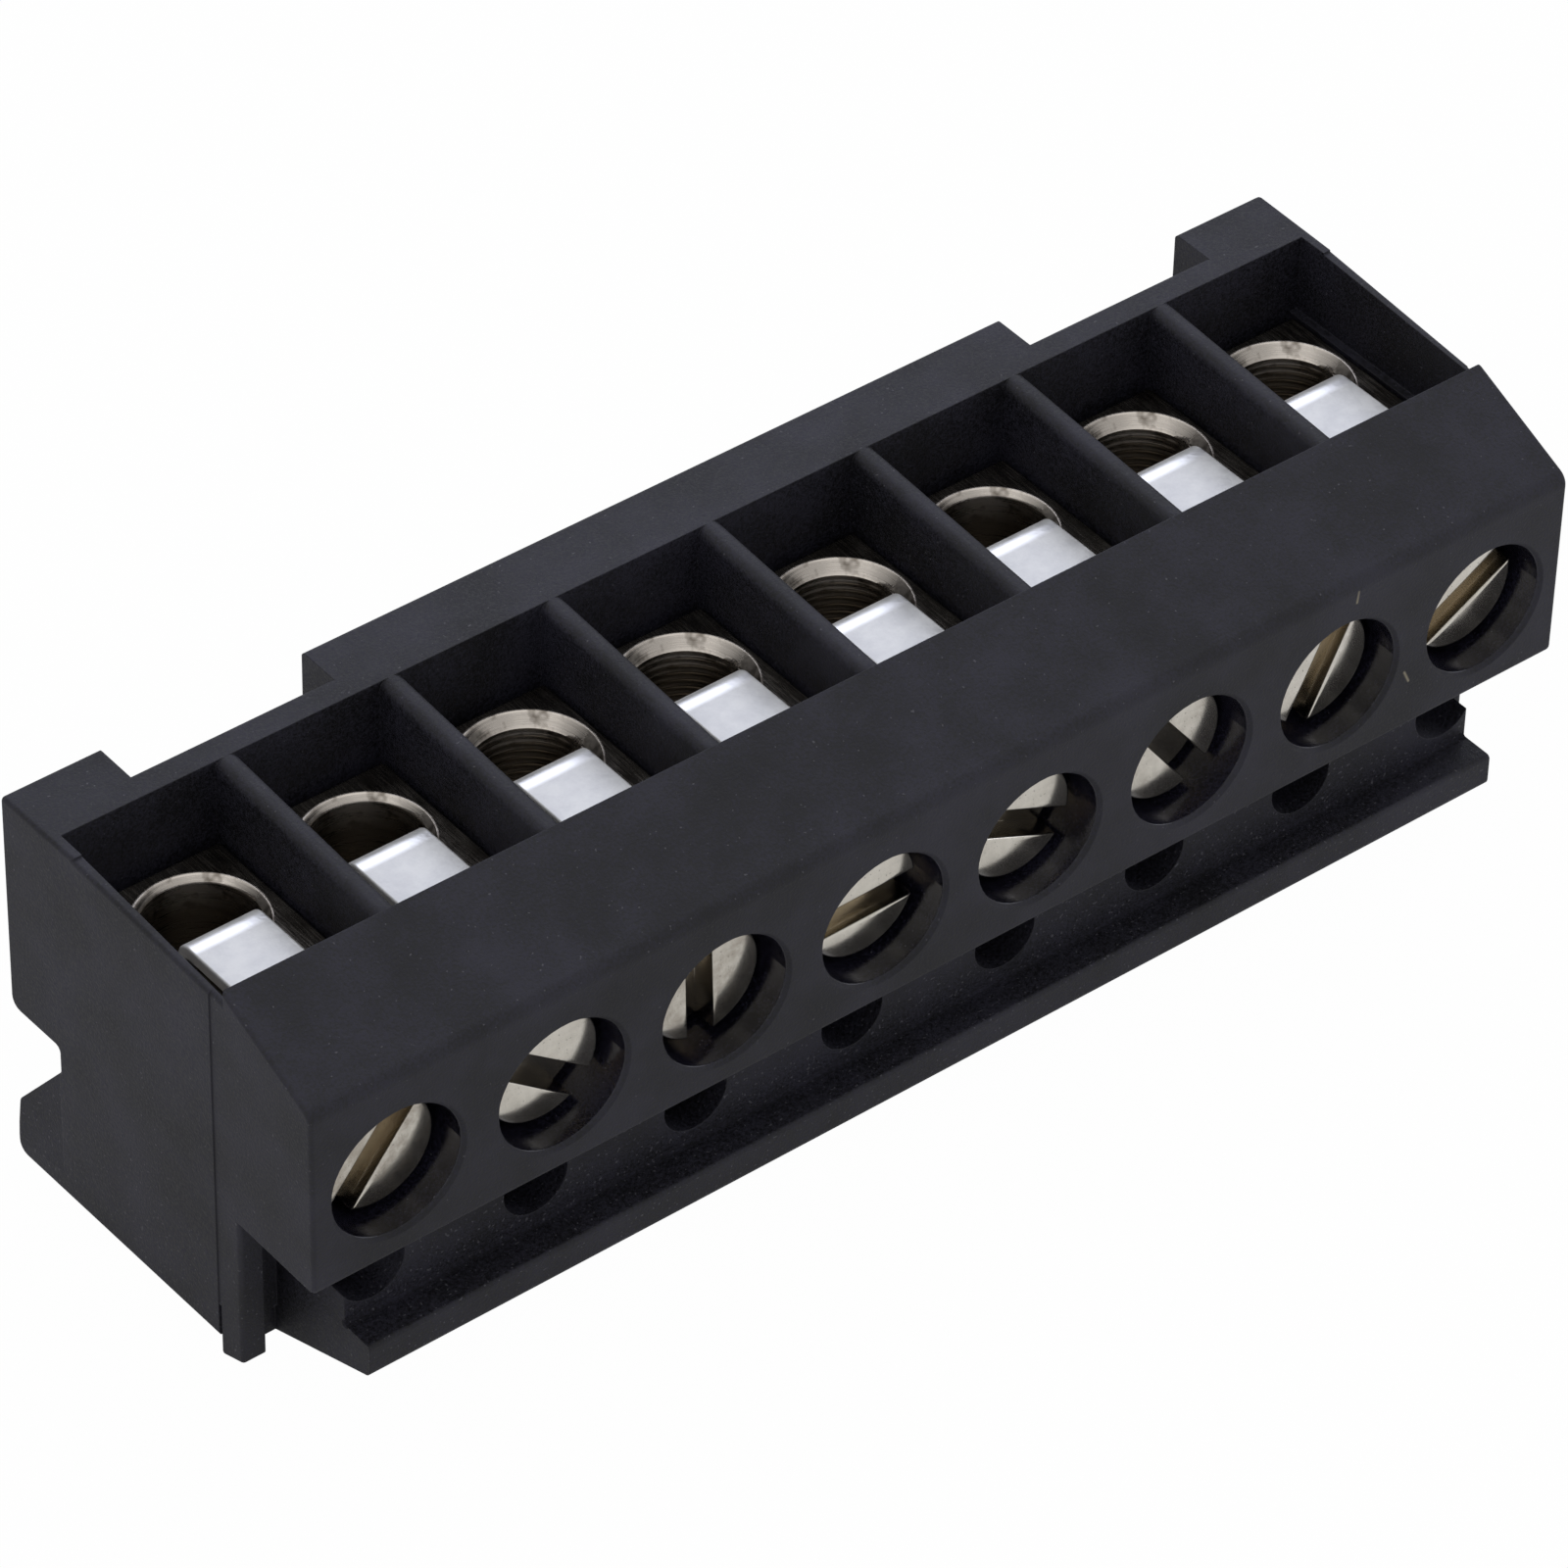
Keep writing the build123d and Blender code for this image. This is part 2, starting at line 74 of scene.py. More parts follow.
def add_node(tree: bpy.types.NodeTree, kind: str, inputs: dict | None = None, **settings) -> bpy.types.Node:
    """Add one node with its settings, values and links.

    Args:
        tree: node tree that takes the node.
        kind: Blender's name of the node type, without the ShaderNode prefix.
        inputs: value or output socket for each input, by name or index.
        settings: properties of the node itself.

    Returns:
        The new node.
    """
    node = tree.nodes.new("ShaderNode" + kind)
    for key, value in settings.items():
        setattr(node, key, value)
    for key, value in (inputs or {}).items():
        socket = node.inputs[key]
        if isinstance(value, bpy.types.NodeSocket):
            tree.links.new(value, socket)
        else:
            socket.default_value = value
    return node


def new_material(name: str) -> tuple[bpy.types.Material, bpy.types.NodeTree]:
    """Start an empty node material.

    Args:
        name: the finish in a maker's words.

    Returns:
        The material and its node tree.
    """
    material = bpy.data.materials.new(name)
    material.use_nodes = True
    material.node_tree.nodes.clear()
    return material, material.node_tree


def millimetre_coordinates(tree: bpy.types.NodeTree, centre: tuple = (0.0, 0.0, 0.0)) -> bpy.types.NodeSocket:
    """Give object coordinates in millimetres.

    Args:
        tree: node tree of the material.
        centre: point in millimetres that becomes the origin.

    Returns:
        The vector socket.
    """
    place = add_node(tree, "TexCoord")
    moved = add_node(tree, "Mapping", {
        "Vector": place.outputs["Object"],
        "Scale": (PER_MM, PER_MM, PER_MM),
        "Location": tuple(-value for value in centre),
    })
    return moved.outputs["Vector"]


def finish_surface(tree: bpy.types.NodeTree, inputs: dict) -> None:
    """Add the surface shader and the output.

    Args:
        tree: node tree of the material.
        inputs: values and links of the Principled shader.
    """
    shader = add_node(tree, "BsdfPrincipled", inputs)
    add_node(tree, "OutputMaterial", {"Surface": shader.outputs["BSDF"]})


def edge_mask(tree: bpy.types.NodeTree, radius_mm: float, gain: float) -> tuple:
    """Find the edges that take a lighter edge colour, partly wear and partly a painted highlight: one less the dot
    product of the rounded and the true normal, times a gain.

    Args:
        tree: node tree of the material.
        radius_mm: how far the rounding reaches.
        gain: how fast the mask rises to one.

    Returns:
        The mask socket and the rounded normal socket.
    """
    rounded = add_node(tree, "Bevel", {"Radius": radius_mm * MM}, samples=6)
    flat = add_node(tree, "NewGeometry")
    dot = add_node(tree, "VectorMath", {0: rounded.outputs["Normal"], 1: flat.outputs["Normal"]},
                   operation="DOT_PRODUCT")
    off = add_node(tree, "Math", {0: 1.0, 1: dot.outputs["Value"]}, operation="SUBTRACT")
    mask = add_node(tree, "Math", {0: off.outputs["Value"], 1: gain}, operation="MULTIPLY", use_clamp=True)
    return mask.outputs["Value"], rounded.outputs["Normal"]


def mirror_rays(tree: bpy.types.NodeTree, path: bpy.types.Node) -> bpy.types.NodeSocket:
    """Tell which rays come off shiny metal or through glass.

    Args:
        tree: node tree of the material or world.
        path: its light path node.

    Returns:
        A socket that is one for those rays.
    """
    either = add_node(tree, "Math", {0: path.outputs["Is Glossy Ray"],
                                     1: path.outputs["Is Transmission Ray"]}, operation="MAXIMUM")
    return either.outputs["Value"]


def streak(tree: bpy.types.NodeTree, place: bpy.types.NodeSocket, start: tuple, end: tuple,
           width_mm: float) -> bpy.types.NodeSocket:
    """Mask a fine straight streak: one near the line between two points, fading to nothing at the width.

    Args:
        tree: node tree of the material.
        place: vector socket in millimetres.
        start: first point in millimetres.
        end: last point in millimetres.
        width_mm: distance from the line at which the streak ends.

    Returns:
        The mask socket.
    """
    run = Vector(end) - Vector(start)
    offset = add_node(tree, "VectorMath", {0: place, 1: start}, operation="SUBTRACT")
    share = add_node(tree, "VectorMath", {0: offset.outputs["Vector"], 1: tuple(run / run.length_squared)},
                     operation="DOT_PRODUCT")
    kept = add_node(tree, "MapRange", {"Value": share.outputs["Value"]})
    along = add_node(tree, "VectorMath", {0: tuple(run), "Scale": kept.outputs["Result"]}, operation="SCALE")
    gap = add_node(tree, "VectorMath", {0: offset.outputs["Vector"], 1: along.outputs["Vector"]},
                   operation="DISTANCE")
    mask = add_node(tree, "MapRange", {"Value": gap.outputs["Value"], "From Min": width_mm, "From Max": 0.0})
    return mask.outputs["Result"]


@dataclass(frozen=True)
class MouldedPolyamide:
    """Glass-filled polyamide 66, injection moulded in a spark-eroded tool.

    The erosion leaves a fine even grain about 0.1 mm wide, single fibre ends at the surface catch the light
    as specks, and a longer fibre shows as a thin pale streak. The eye sees a matt black with a cool bloom.
    The screw recesses come from polished core pins, so their walls are smooth and dark. Dust thickens the
    specks towards the bottom.
    """

    name: str = "polyamide_66_moulded_spark_eroded"
    body: str = "#09080F"
    bloom: str = "#23222E"
    speck: str = "#56555B"
    # Lighter edge colour: partly wear, partly a painted highlight on the edges.
    edge_wear_and_highlight: str = "#222129"
    fibre: str = "#8F8672"
    grain_mm: float = 0.085
    cloud_mm: float = 2.6
    speck_mm: float = 0.09
    relief_mm: float = 0.016
    edge_reach_mm: float = 0.045
    grain_share: float = 0.55
    bloom_span: tuple = (0.42, 0.6)
    speck_span: tuple = (0.805, 0.86)
    speck_share: float = 0.6
    roughness: float = 0.62
    roughness_swing: float = 0.12
    core_roughness: float = 0.2
    core_radius_mm: float = 2.0
    core_start_mm: float = 0.1
    core_end_mm: float = 3.1
    core_smooth: float = 0.85
    dust_top_mm: float = 6.0
    dust_bottom_mm: float = 3.5
    dust_gain: float = 0.06
    crease_mm: tuple = (-5.2, 2.53)
    crease_reach_mm: float = 0.13
    ior: float = 1.46
    fibre_width_mm: float = 0.055
    fibres_mm: tuple = (
        ((13.11, -6.35, 11.06), (13.07, -6.37, 10.72)),
        ((15.00, -6.375, 7.38), (15.18, -6.375, 7.0)),
        ((-18.63, -6.22, 3.92), (-18.60, -6.22, 3.86)),
    )

    def material(self) -> bpy.types.Material:
        """Build the material: grain bump, cloudy tone, specks, fibre streaks and lighter edges, which are partly
        wear and partly a painted highlight.

        Returns:
            The finished material.
        """
        material, tree = new_material(self.name)
        place = millimetre_coordinates(tree)
        edge_wear_and_highlight, rounded = edge_mask(tree, self.edge_reach_mm, 1.0)
        grain = add_node(tree, "TexNoise", {"Vector": place, "Scale": 1 / self.grain_mm, "Detail": 2.5,
                                            "Roughness": 0.6})
        cloud = add_node(tree, "TexNoise", {"Vector": place, "Scale": 1 / self.cloud_mm, "Detail": 4.0,
                                            "Roughness": 0.62})
        fleck = add_node(tree, "TexNoise", {"Vector": place, "Scale": 1 / self.speck_mm, "Detail": 0.0})
        mixed = add_node(tree, "Mix", {0: self.grain_share, 2: cloud.outputs["Fac"], 3: grain.outputs["Fac"]},
                         data_type="FLOAT")
        cloud_level = add_node(tree, "MapRange", {"Value": mixed.outputs[0], "From Min": self.bloom_span[0],
                                                  "From Max": self.bloom_span[1]})
        tone = add_node(tree, "Mix", {0: cloud_level.outputs["Result"], 6: linear(self.body),
                                      7: linear(self.bloom)}, data_type="RGBA")
        split = add_node(tree, "SeparateXYZ", {"Vector": place})
        dusty = add_node(tree, "MapRange", {"Value": split.outputs["Z"], "From Min": self.dust_top_mm,
                                            "From Max": self.dust_bottom_mm, "To Max": self.dust_gain})
        dusted = add_node(tree, "Math", {0: fleck.outputs["Fac"], 1: dusty.outputs["Result"]}, operation="ADD")
        fleck_level = add_node(tree, "MapRange", {
            "Value": dusted.outputs["Value"], "From Min": self.speck_span[0], "From Max": self.speck_span[1],
            "To Max": self.speck_share})
        flecked = add_node(tree, "Mix", {0: fleck_level.outputs["Result"], 6: tone.outputs[2],
                                         7: linear(self.speck)}, data_type="RGBA")
        # Lighter colour on the edges: partly wear, partly a painted highlight.
        edged = add_node(tree, "Mix", {0: edge_wear_and_highlight, 6: flecked.outputs[2], 7: linear(self.edge_wear_and_highlight)}, data_type="RGBA")
        colour = edged.outputs[2]
        for start, end in self.fibres_mm:
            mask = streak(tree, place, start, end, self.fibre_width_mm)
            streaked = add_node(tree, "Mix", {0: mask, 6: colour, 7: linear(self.fibre)}, data_type="RGBA")
            colour = streaked.outputs[2]
        rough = add_node(tree, "MapRange", {"Value": grain.outputs["Fac"], "From Min": 0.3, "From Max": 0.7,
                                            "To Min": self.roughness - self.roughness_swing,
                                            "To Max": self.roughness + self.roughness_swing})
        core = self.recess_mask(tree, place)
        dulled = add_node(tree, "Mix", {0: self.crease_mask(tree, place), 2: rough.outputs["Result"], 3: 1.0},
                          data_type="FLOAT")
        smoothed = add_node(tree, "Mix", {0: core, 2: dulled.outputs[0], 3: self.core_roughness},
                            data_type="FLOAT")
        height = add_node(tree, "MapRange", {"Value": core, "To Min": 1.0, "To Max": 1.0 - self.core_smooth})
        relief = add_node(tree, "Bump", {"Height": grain.outputs["Fac"], "Distance": self.relief_mm * MM,
                                         "Strength": height.outputs["Result"], "Normal": rounded})
        finish_surface(tree, {"Base Color": colour, "Roughness": smoothed.outputs[0],
                              "IOR": self.ior, "Normal": relief.outputs["Normal"]})
        return material

    def crease_mask(self, tree: bpy.types.NodeTree, place: bpy.types.NodeSocket) -> bpy.types.NodeSocket:
        """Mask the crease where the guide lip leaves the plug wall, which dust has dulled.

        Args:
            tree: node tree of the material.
            place: vector socket in millimetres.

        Returns:
            The mask socket.
        """
        flat = add_node(tree, "VectorMath", {0: place, 1: (0.0, 1.0, 1.0)}, operation="MULTIPLY")
        gap = add_node(tree, "VectorMath", {0: flat.outputs["Vector"], 1: (0.0, *self.crease_mm)},
                       operation="DISTANCE")
        near = add_node(tree, "Math", {0: gap.outputs["Value"], 1: self.crease_reach_mm}, operation="LESS_THAN")
        return near.outputs["Value"]

    def recess_mask(self, tree: bpy.types.NodeTree, place: bpy.types.NodeSocket) -> bpy.types.NodeSocket:
        """Mask the screw recesses: one near the nearest screw axis and behind the screw face.

        Args:
            tree: node tree of the material.
            place: vector socket in millimetres.

        Returns:
            The mask socket.
        """
        split = add_node(tree, "SeparateXYZ", {"Vector": place})
        shifted = add_node(tree, "Math", {0: split.outputs["X"], 1: PITCH / 2}, operation="ADD")
        near = add_node(tree, "Math", {0: shifted.outputs["Value"], 1: PITCH / 2, 2: -PITCH / 2},
                        operation="WRAP")
        rise = add_node(tree, "Math", {0: split.outputs["Z"], 1: SCREW_HEIGHT}, operation="SUBTRACT")
        flat = add_node(tree, "CombineXYZ", {"X": near.outputs["Value"], "Y": rise.outputs["Value"]})
        radius = add_node(tree, "VectorMath", {0: flat.outputs["Vector"]}, operation="LENGTH")
        inside = add_node(tree, "Math", {0: radius.outputs["Value"], 1: self.core_radius_mm},
                          operation="LESS_THAN")
        middle = FACE_Y + (self.core_start_mm + self.core_end_mm) / 2
        behind = add_node(tree, "Math", {0: split.outputs["Y"], 1: middle,
                                         2: (self.core_end_mm - self.core_start_mm) / 2},
                          operation="COMPARE")
        both = add_node(tree, "Math", {0: inside.outputs["Value"], 1: behind.outputs["Value"]},
                        operation="MULTIPLY")
        return both.outputs["Value"]


@dataclass(frozen=True)
class PlatedBlock:
    """Nickel-plated brass block, sawn from drawn bar and drilled.

    Drawing leaves faint lines along the bar and the saw leaves dull faces, so the metal looks warm grey and
    half-matt. Its bright thin edges are partly burrs and partly a painted highlight.
    """

    name: str = "brass_nickel_plated_drawn"
    light: str = "#A09A92"
    dull: str = "#6E6861"
    # Bright edge colour: partly burrs, partly a painted highlight.
    edge: str = "#C9C4BC"
    edge_reach_mm: float = 0.05
    edge_gain: float = 1.6
    line_mm: float = 0.06
    line_stretch: float = 0.06
    stain_mm: float = 0.9
    relief_mm: float = 0.004
    roughness: float = 0.24

    def material(self) -> bpy.types.Material:
        """Build the material: drawn lines along the depth, stains and bright edges, partly burrs and partly a
        painted highlight.

        Returns:
            The finished material.
        """
        material, tree = new_material(self.name)
        place = millimetre_coordinates(tree)
        edge_wear_and_highlight, rounded = edge_mask(tree, self.edge_reach_mm, self.edge_gain)
        along = add_node(tree, "Mapping", {"Vector": place, "Scale": (1.0, self.line_stretch, 1.0)})
        lines = add_node(tree, "TexNoise", {"Vector": along.outputs["Vector"], "Scale": 1 / self.line_mm,
                                            "Detail": 2.0})
        stain = add_node(tree, "TexNoise", {"Vector": place, "Scale": 1 / self.stain_mm, "Detail": 5.0,
                                            "Roughness": 0.65})
        level = add_node(tree, "MapRange", {"Value": stain.outputs["Fac"], "From Min": 0.35, "From Max": 0.65})
        tone = add_node(tree, "Mix", {0: level.outputs["Result"], 6: linear(self.dull), 7: linear(self.light)},
                        data_type="RGBA")
        # Bright colour on the edges: partly burrs, partly a painted highlight.
        edged = add_node(tree, "Mix", {0: edge_wear_and_highlight, 6: tone.outputs[2], 7: linear(self.edge)}, data_type="RGBA")
        rough = add_node(tree, "MapRange", {"Value": lines.outputs["Fac"], "From Min": 0.3, "From Max": 0.7,
                                            "To Min": self.roughness - 0.08, "To Max": self.roughness + 0.1})
        relief = add_node(tree, "Bump", {"Height": lines.outputs["Fac"], "Distance": self.relief_mm * MM,
                                         "Strength": 1.0, "Normal": rounded})
        finish_surface(tree, {"Base Color": edged.outputs[2], "Metallic": 1.0,
                              "Roughness": rough.outputs["Result"], "Normal": relief.outputs["Normal"]})
        return material


@dataclass(frozen=True)
class TurnedBore:
    """The same plated brass where a drill and countersink have cut it.

    The tool leaves rings round the bore, read here from the piece's own map: u runs round the bore and v
    runs down it in millimetres. The cone is bright, with grey patches of painted reflection of the dark walls, and
    the wall darkens to brown with depth as painted shade.
    """

    name: str = "brass_nickel_plated_turned"
    light: str = "#D2CAC1"
    # Grey of a painted reflection: the dark walls seen in the bright cut, laid on in noise patches.
    dark_reflection: str = "#857D74"
    # Brown painted shade deep in the bore.
    recess_shade: str = "#8C8172"
    dark_reflection_mm: float = 0.8
    dark_reflection_span: tuple = (0.5, 0.62)
    dark_reflection_run: float = 1.6
    ring_mm: float = 0.055
    ring_run: float = 0.35
    relief_mm: float = 0.006
    roughness_span: tuple = (0.2, 0.42)
    recess_shade_from_mm: float = 0.3
    recess_shade_to_mm: float = 1.1

    def material(self) -> bpy.types.Material:
        """Build the material: rings round the bore, grey patches of painted reflection and a painted shade that
        darkens the tone with depth.

        Returns:
            The finished material.
        """
        material, tree = new_material(self.name)
        own = add_node(tree, "UVMap", uv_map=SurfaceMaker.MAP)
        split = add_node(tree, "SeparateXYZ", {"Vector": own.outputs["UV"]})
        stretched = add_node(tree, "Mapping", {"Vector": own.outputs["UV"],
                                               "Scale": (self.ring_run, 1 / self.ring_mm, 1)})
        rings = add_node(tree, "TexNoise", {"Vector": stretched.outputs["Vector"], "Scale": 1.0, "Detail": 2.0,
                                            "Roughness": 0.7})
        # Painted shade: the tone darkens to brown between these depths down the bore.
        depth = add_node(tree, "MapRange", {"Value": split.outputs["Y"], "From Min": self.recess_shade_from_mm,
                                            "From Max": self.recess_shade_to_mm})
        across = add_node(tree, "Mapping", {"Vector": own.outputs["UV"],
                                            "Scale": (1 / self.dark_reflection_mm, self.dark_reflection_run, 1)})
        # Noise patches where the grey painted reflection goes.
        dark_reflection_noise = add_node(tree, "TexNoise", {"Vector": across.outputs["Vector"], "Scale": 1.0, "Detail": 3.0,
                                            "Roughness": 0.65})
        dark_reflection_level = add_node(tree, "MapRange", {"Value": dark_reflection_noise.outputs["Fac"], "From Min": self.dark_reflection_span[0],
                                                  "From Max": self.dark_reflection_span[1]})
        cut_tone = add_node(tree, "Mix", {0: dark_reflection_level.outputs["Result"], 6: linear(self.light),
                                          7: linear(self.dark_reflection)}, data_type="RGBA")
        tone = add_node(tree, "Mix", {0: depth.outputs["Result"], 6: cut_tone.outputs[2], 7: linear(self.recess_shade)},
                        data_type="RGBA")
        rough = add_node(tree, "MapRange", {"Value": rings.outputs["Fac"], "From Min": 0.3, "From Max": 0.7,
                                            "To Min": self.roughness_span[0],
                                            "To Max": self.roughness_span[1]})
        relief = add_node(tree, "Bump", {"Height": rings.outputs["Fac"], "Distance": self.relief_mm * MM,
                                         "Strength": 1.0})
        finish_surface(tree, {"Base Color": tone.outputs[2], "Metallic": 1.0,
                              "Roughness": rough.outputs["Result"], "Normal": relief.outputs["Normal"]})
        return material


@dataclass(frozen=True)
class TurnedScrew:
    """Steel screw, face turned on a lathe and nickel plated.

    The flat face is half a mirror: it shows the pale table on one side and the dark recess wall on the
    other. Fine turned rings, pits and patches of duller plating break the picture, and the slot's walls and
    floor carry a warmer, darker painted shade. The rings come from the distance to the screw's own axis.
    """

    name: str
    centre_mm: tuple
    wear: float
    light: str = "#EFEADF"
    dull: str = "#A59B8D"
    pit: str = "#4A4338"
    # Warmer, darker colour of the slot: painted shade in the recess.
    floor: str = "#C9C0B0"
    edge: str = "#EAE5DC"
    ring_mm: float = 0.06
    patch_mm: float = 0.7
    pit_mm: float = 0.09
    roughness: float = 0.12
    relief_mm: float = 0.0006
    edge_reach_mm: float = 0.035
    wear_roughness: float = 0.12
    clean_share: float = 0.25
    pit_span: tuple = (0.66, 0.74)
    pit_share: float = 0.55
    slot_shade_from_mm: float = 0.12
    slot_shade_to_mm: float = 0.5
    slot_shade_share: float = 0.75

    def material(self) -> bpy.types.Material:
        """Build the material: turned rings about the axis, dull patches, pits, painted shade in the slot and bright
        edges.

        Returns:
            The finished material.
        """
        material, tree = new_material(self.name)
        place = millimetre_coordinates(tree, self.centre_mm)
        edge_wear_and_highlight, rounded = edge_mask(tree, self.edge_reach_mm, 1.0)
        split = add_node(tree, "SeparateXYZ", {"Vector": place})
        flat = add_node(tree, "VectorMath", {0: place, 1: (1.0, 0.0, 1.0)}, operation="MULTIPLY")
        radius = add_node(tree, "VectorMath", {0: flat.outputs["Vector"]}, operation="LENGTH")
        spread = add_node(tree, "CombineXYZ", {"X": radius.outputs["Value"]})
        rings = add_node(tree, "TexNoise", {"Vector": spread.outputs["Vector"], "Scale": 1 / self.ring_mm,
                                            "Detail": 2.0, "Roughness": 0.7})
        patch = add_node(tree, "TexNoise", {"Vector": place, "Scale": 1 / self.patch_mm, "Detail": 5.0,
                                            "Roughness": 0.7})
        level = add_node(tree, "MapRange", {"Value": patch.outputs["Fac"], "From Min": 0.35, "From Max": 0.65,
                                            "To Min": self.wear, "To Max": self.wear * self.clean_share})
        tone = add_node(tree, "Mix", {0: level.outputs["Result"], 6: linear(self.light), 7: linear(self.dull)},
                        data_type="RGBA")
        pits = add_node(tree, "TexNoise", {"Vector": place, "Scale": 1 / self.pit_mm, "Detail": 1.0})
        pitted_level = add_node(tree, "MapRange", {
            "Value": pits.outputs["Fac"], "From Min": self.pit_span[0], "From Max": self.pit_span[1],
            "To Max": self.pit_share})
        pitted = add_node(tree, "Mix", {0: pitted_level.outputs["Result"], 6: tone.outputs[2],
                                        7: linear(self.pit)}, data_type="RGBA")
        # Painted shade: the slot's walls and floor take the warmer, darker colour below this depth.
        recess_shade = add_node(tree, "MapRange", {"Value": split.outputs["Y"], "From Min": self.slot_shade_from_mm,
                                           "From Max": self.slot_shade_to_mm, "To Max": self.slot_shade_share})
        slot_shaded = add_node(tree, "Mix", {0: recess_shade.outputs["Result"], 6: pitted.outputs[2], 7: linear(self.floor)},
                        data_type="RGBA")
        edged = add_node(tree, "Mix", {0: edge_wear_and_highlight, 6: slot_shaded.outputs[2], 7: linear(self.edge)}, data_type="RGBA")
        rough = add_node(tree, "MapRange", {"Value": patch.outputs["Fac"], "From Min": 0.35, "From Max": 0.65,
                                            "To Min": self.roughness + self.wear_roughness * self.wear,
                                            "To Max": self.roughness})
        relief = add_node(tree, "Bump", {"Height": rings.outputs["Fac"], "Distance": self.relief_mm * MM,
                                         "Strength": 1.0, "Normal": rounded})
        finish_surface(tree, {"Base Color": edged.outputs[2], "Metallic": 1.0,
                              "Roughness": rough.outputs["Result"], "Normal": relief.outputs["Normal"]})
        return material


@dataclass(frozen=True)
class BrightTin:
    """Bronze strip, tinned: pale metal with a soft cloud in the tin and tiny pits.

    A band before the bend, on its upward faces, carries a painted highlight: a brighter colour, and it is also more
    metallic and smoother than the flat.
    """

    name: str = "bronze_strip_bright_tinned"
    light: str = "#E2E2E1"
    cloud: str = "#CDCDCD"
    # Colour of the painted highlight on the band before the bend.
    painted_highlight: str = "#FBFBFB"
    metallic: float = 0.4
    band_mm: tuple = (0.4, 0.86)
    band_edge_mm: float = 0.16
    band_upward: float = 0.8
    band_roughness: float = 0.3
    band_metallic: float = 0.8
    cloud_mm: float = 0.7
    pit_mm: float = 0.12
    relief_mm: float = 0.004
    roughness: float = 0.36

    def material(self) -> bpy.types.Material:
        """Build the material: clouded tone, fine pits, softly changing gloss and a painted highlight band before
        the bend.

        Returns:
            The finished material.
        """
        material, tree = new_material(self.name)
        place = millimetre_coordinates(tree)
        cloud = add_node(tree, "TexNoise", {"Vector": place, "Scale": 1 / self.cloud_mm, "Detail": 4.0,
                                            "Roughness": 0.6})
        pits = add_node(tree, "TexNoise", {"Vector": place, "Scale": 1 / self.pit_mm, "Detail": 2.0})
        level = add_node(tree, "MapRange", {"Value": cloud.outputs["Fac"], "From Min": 0.35, "From Max": 0.65})
        tone = add_node(tree, "Mix", {0: level.outputs["Result"], 6: linear(self.cloud), 7: linear(self.light)},
                        data_type="RGBA")
        rough = add_node(tree, "MapRange", {"Value": cloud.outputs["Fac"], "From Min": 0.3, "From Max": 0.7,
                                            "To Min": self.roughness - 0.05, "To Max": self.roughness + 0.08})
        relief = add_node(tree, "Bump", {"Height": pits.outputs["Fac"], "Distance": self.relief_mm * MM,
                                         "Strength": 1.0})
        facing = add_node(tree, "NewGeometry")
        upward = add_node(tree, "SeparateXYZ", {"Vector": facing.outputs["Normal"]})
        split = add_node(tree, "SeparateXYZ", {"Vector": place})
        sides = [add_node(tree, "MapRange", {"Value": split.outputs["Y"], "From Min": limit,
                                             "From Max": limit + ease}).outputs["Result"]
                 for limit, ease in zip(self.band_mm, (self.band_edge_mm, -self.band_edge_mm))]
        inside = add_node(tree, "Math", {0: sides[0], 1: sides[1]}, operation="MULTIPLY")
        on_top = add_node(tree, "Math", {0: upward.outputs["Z"], 1: self.band_upward},
                          operation="GREATER_THAN")
        # Painted highlight band: upward faces between the band's limits.
        highlight_band = add_node(tree, "Math", {0: inside.outputs["Value"], 1: on_top.outputs["Value"]},
                          operation="MULTIPLY")
        lit = add_node(tree, "Mix", {0: highlight_band.outputs["Value"], 6: tone.outputs[2],
                                     7: linear(self.painted_highlight)}, data_type="RGBA")
        bare = add_node(tree, "MapRange", {"Value": highlight_band.outputs["Value"], "To Min": self.metallic,
                                           "To Max": self.band_metallic})
        smooth = add_node(tree, "Mix", {0: highlight_band.outputs["Value"], 2: rough.outputs["Result"],
                                        3: self.band_roughness}, data_type="FLOAT")
        finish_surface(tree, {"Base Color": lit.outputs[2], "Metallic": bare.outputs["Result"],
                              "Roughness": smooth.outputs[0], "Normal": relief.outputs["Normal"]})
        return material


@dataclass(frozen=True)
class PaleTable:
    """Matt white laminate of a photo table: white to the camera, and a little lifted in shiny metal."""

    name: str = "table_white_laminate"
    colour: str = "#D3D3D3"
    pale: str = "#D7D7D7"
    cloud_mm: float = 1.25
    camera_glow: float = 0.985
    mirror_glow: float = 0.3

    def material(self) -> bpy.types.Material:
        """Build the material: plain matt white, lifted to white for the camera and less for reflections.

        Returns:
            The finished material.
        """
        material, tree = new_material(self.name)
        place = millimetre_coordinates(tree)
        grain = add_node(tree, "TexNoise", {"Vector": place, "Scale": 1 / self.cloud_mm, "Detail": 3.0})
        tone = add_node(tree, "Mix", {0: grain.outputs["Fac"], 6: linear(self.colour), 7: linear(self.pale)},
                        data_type="RGBA")
        matt = add_node(tree, "BsdfDiffuse", {"Color": tone.outputs[2], "Roughness": 0.3})
        white = add_node(tree, "Emission", {"Color": (1, 1, 1, 1), "Strength": 1.0})
        path = add_node(tree, "LightPath")
        dimmed = add_node(tree, "Math", {0: mirror_rays(tree, path), 1: self.mirror_glow},
                          operation="MULTIPLY")
        direct = add_node(tree, "Math", {0: path.outputs["Is Camera Ray"], 1: self.camera_glow},
                          operation="MULTIPLY")
        share = add_node(tree, "Math", {0: dimmed.outputs["Value"], 1: direct.outputs["Value"]},
                         operation="MAXIMUM")
        both = add_node(tree, "MixShader", {0: share.outputs["Value"], 1: matt.outputs["BSDF"],
                                            2: white.outputs["Emission"]})
        add_node(tree, "OutputMaterial", {"Surface": both.outputs["Shader"]})
        return material


